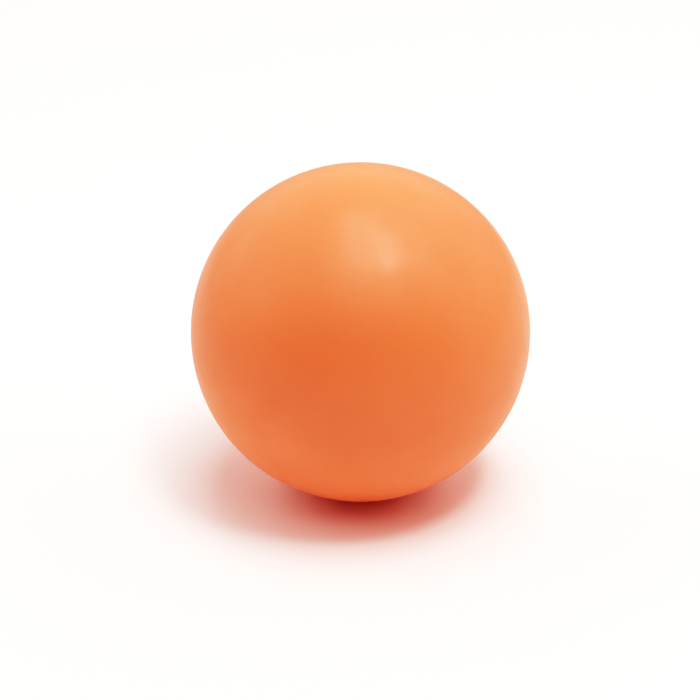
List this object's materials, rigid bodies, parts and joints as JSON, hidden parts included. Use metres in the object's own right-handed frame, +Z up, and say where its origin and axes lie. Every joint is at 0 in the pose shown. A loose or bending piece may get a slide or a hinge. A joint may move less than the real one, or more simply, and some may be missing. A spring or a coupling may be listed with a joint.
{
  "type": "golf ball",
  "caption": "Smooth, dimple-free golf ball with a matt orange skin over a rubber core, a mantle and a moulded cover, for putting and minigolf.",
  "frame": {"origin": "the centre of the ball, which is the common centre of all its layers", "axes": "+Z is up as the ball rests, at z = -21.335 mm, and +Y points away from the viewer; the shape is the same about every axis"},
  "size_m": [0.0426, 0.0426, 0.0426],
  "materials": {
    "matt_finish": "satin",
    "cover_ionomer": "satin",
    "mantle_ionomer": "satin",
    "core_rubber": "matte"
  },
  "bodies": {
    "root": {"core": "core_rubber", "mantle": "mantle_ionomer", "cover": "cover_ionomer", "finish_coat": "matt_finish"}
  },
  "joints": []
}
